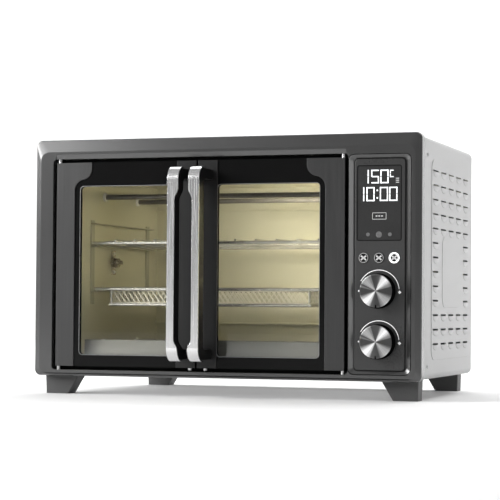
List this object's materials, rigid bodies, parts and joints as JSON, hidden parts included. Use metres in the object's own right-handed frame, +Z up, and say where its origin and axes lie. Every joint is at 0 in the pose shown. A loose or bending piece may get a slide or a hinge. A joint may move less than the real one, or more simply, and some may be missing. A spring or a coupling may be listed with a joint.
{
  "type": "toaster oven",
  "caption": "Countertop toaster oven with French doors that meet in the middle, dark bezel, louvred grey case, wire rack and basket inside, and a right-hand column with display, keys and dials.",
  "frame": {"origin": "on the surface the oven stands on, in the middle of its width and of its whole depth, handles and wall spacers included", "axes": "+X to the oven's right as seen from the front, +Y to the rear, +Z up"},
  "size_m": [0.54, 0.435, 0.345],
  "materials": {
    "bezel": "satin graphite",
    "case": "silver-grey paint",
    "plain_sheet": "zinc-coated sheet",
    "foot": "matt black",
    "liner": "satin, warm tone",
    "heater": "heat-darkened steel tube",
    "wire": "bright plated wire",
    "blanket": "glass-fibre wool",
    "dark_plastic": "matt black",
    "door_black": "gloss black",
    "door_glass": "clear, slightly smoky",
    "dark_steel": "dark satin steel",
    "bright_steel": "bright satin strip",
    "pin_steel": "plain steel",
    "lens": "gloss smoked window",
    "fascia": "satin dark grey",
    "board": "green laminate",
    "motor": "grey paint",
    "lamp": "white ceramic and glass",
    "cap": "radially spun"
  },
  "bodies": {
    "oven": {"front_bezel": "bezel", "outer_case": "case", "base_plate": "plain_sheet", "rear_cover": "case", "rear_panel": "case", "front_left_foot": "foot", "front_right_foot": "foot", "rear_left_foot": "foot", "rear_right_foot": "foot", "cavity_liner": "liner", "insulation_blanket": "blanket", "heating_tubes": "heater", "left_rack_guide": "liner", "right_rack_guide": "liner", "wire_rack": "wire", "basket_frame": "wire", "basket_mesh": "wire", "crumb_tray": "liner", "temperature_probe": "pin_steel", "fan_guard": "plain_sheet", "heat_shield": "plain_sheet", "fan_motor": "motor", "oven_lamp": "lamp", "power_board": "board", "cord_gland": "dark_plastic", "rear_spacers": "dark_plastic", "panel_screws": "pin_steel", "control_fascia": "fascia", "display_lens": "lens", "display_module": "dark_plastic", "dial_encoders": "dark_plastic", "control_board": "board"},
    "left_door": {"left_door_frame": "door_black", "left_door_glass": "door_glass", "left_inner_panel": "door_black", "left_outer_stile": "dark_steel", "left_inner_stile": "dark_steel", "left_handle_strip": "bright_steel", "left_handle_grip": "door_black", "left_hinge_pins": "pin_steel", "left_door_catch": "pin_steel"},
    "right_door": {"right_door_frame": "door_black", "right_door_glass": "door_glass", "right_inner_panel": "door_black", "right_outer_stile": "dark_steel", "right_inner_stile": "dark_steel", "right_handle_strip": "bright_steel", "right_handle_grip": "door_black", "right_hinge_pins": "pin_steel", "right_door_catch": "pin_steel"},
    "upper_dial": {"upper_knob": "door_black", "upper_knob_cap": "cap"},
    "lower_dial": {"lower_knob": "door_black", "lower_knob_cap": "cap"},
    "light_button": {"light_key": "fascia"},
    "convection_button": {"convection_key": "fascia"},
    "turbo_button": {"turbo_key": "fascia"},
    "fan_rotor": {"convection_fan": "plain_sheet", "motor_shaft": "pin_steel", "cooling_fan": "dark_plastic"}
  },
  "joints": [
    {"name": "left_door_hinge", "type": "hinge", "parent": "oven", "child": "left_door", "pos_m": [-0.2355, -0.1605, 0.1759], "axis": [0, 0, -1], "range_deg": [0, 105]},
    {"name": "right_door_hinge", "type": "hinge", "parent": "oven", "child": "right_door", "pos_m": [0.1654, -0.1605, 0.1759], "axis": [0, 0, 1], "range_deg": [0, 105]},
    {"name": "upper_dial_turn", "type": "hinge", "parent": "oven", "child": "upper_dial", "pos_m": [0.2143, -0.1665, 0.1412], "axis": [0, 1, 0], "continuous": true},
    {"name": "lower_dial_turn", "type": "hinge", "parent": "oven", "child": "lower_dial", "pos_m": [0.2143, -0.1665, 0.0762], "axis": [0, 1, 0], "continuous": true},
    {"name": "light_button_press", "type": "slide", "parent": "oven", "child": "light_button", "axis": [0, 1, 0], "range_m": [0, 0.0008], "stiffness_N_per_m": 400, "springref_m": -0.002},
    {"name": "convection_button_press", "type": "slide", "parent": "oven", "child": "convection_button", "axis": [0, 1, 0], "range_m": [0, 0.0008], "stiffness_N_per_m": 400, "springref_m": -0.002},
    {"name": "turbo_button_press", "type": "slide", "parent": "oven", "child": "turbo_button", "axis": [0, 1, 0], "range_m": [0, 0.0008], "stiffness_N_per_m": 400, "springref_m": -0.002},
    {"name": "fan_spin", "type": "hinge", "parent": "oven", "child": "fan_rotor", "pos_m": [0.15, -0.0065, 0.165], "axis": [1, 0, 0], "continuous": true}
  ]
}
